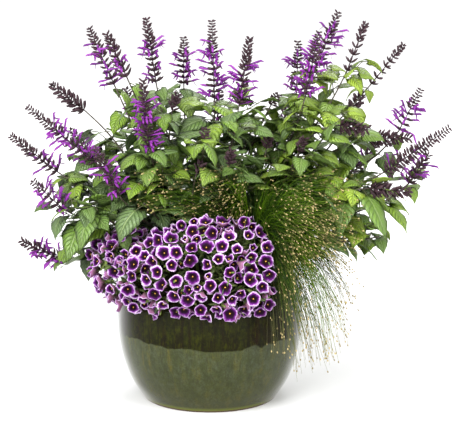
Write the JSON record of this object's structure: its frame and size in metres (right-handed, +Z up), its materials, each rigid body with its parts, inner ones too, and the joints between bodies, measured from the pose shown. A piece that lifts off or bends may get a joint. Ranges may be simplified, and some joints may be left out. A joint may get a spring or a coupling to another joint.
{
  "type": "potted salvia",
  "caption": "Round glazed planter of upright purple salvia spikes, trailing violet bell flowers and arching fountain grass, for a patio, step or entrance.",
  "frame": {"origin": "the centre of the pot's flat foot, on the ground", "axes": "+Z is up; -Y is the front, where the bell flowers hang over the rim; +X is to the viewer's right, the side of the fountain grass"},
  "size_m": [0.8902, 0.5871, 0.78],
  "materials": {
    "glaze": "gloss",
    "potting_mix": "matte",
    "leaf": "satin",
    "calyx": "matte",
    "petal": "satin",
    "grass": "satin"
  },
  "bodies": {
    "root": {"pot": "glaze", "soil": "potting_mix", "salvia_left_low": "leaf", "spike_left_low_1": "calyx", "spike_left_low_2": "calyx", "spike_left_low_3": "calyx", "salvia_left": "leaf", "spike_left_1": "calyx", "spike_left_2": "calyx", "salvia_left_inner": "leaf", "spike_left_inner_1": "calyx", "spike_left_inner_2": "calyx", "spike_left_inner_3": "calyx", "salvia_middle_left": "leaf", "spike_middle_left_1": "calyx", "spike_middle_left_2": "calyx", "spike_middle_left_3": "calyx", "spike_middle_left_4": "calyx", "salvia_middle": "leaf", "spike_middle_1": "calyx", "spike_middle_2": "calyx", "spike_middle_3": "calyx", "spike_middle_4": "calyx", "spike_middle_5": "calyx", "salvia_middle_right": "leaf", "spike_middle_right_1": "calyx", "spike_middle_right_2": "calyx", "spike_middle_right_3": "calyx", "salvia_right_inner": "leaf", "spike_right_inner_1": "calyx", "spike_right_inner_2": "calyx", "spike_right_inner_3": "calyx", "spike_right_inner_4": "calyx", "salvia_right": "leaf", "spike_right_1": "calyx", "spike_right_2": "calyx", "spike_right_3": "calyx", "salvia_right_front": "leaf", "spike_right_front_1": "calyx", "spike_right_front_2": "calyx", "spike_right_front_3": "calyx", "salvia_right_low": "leaf", "spike_right_low_1": "calyx", "spike_right_low_2": "calyx", "salvia_back_left": "leaf", "spike_back_left_1": "calyx", "spike_back_left_2": "calyx", "salvia_back_middle": "leaf", "spike_back_middle_1": "calyx", "salvia_back_right": "leaf", "spike_back_right_1": "calyx", "spike_back_right_2": "calyx", "bells_1": "petal", "bells_2": "petal", "bells_3": "petal", "bells_4": "petal", "bells_5": "petal", "bells_6": "petal", "fountain_grass": "grass"}
  },
  "joints": []
}
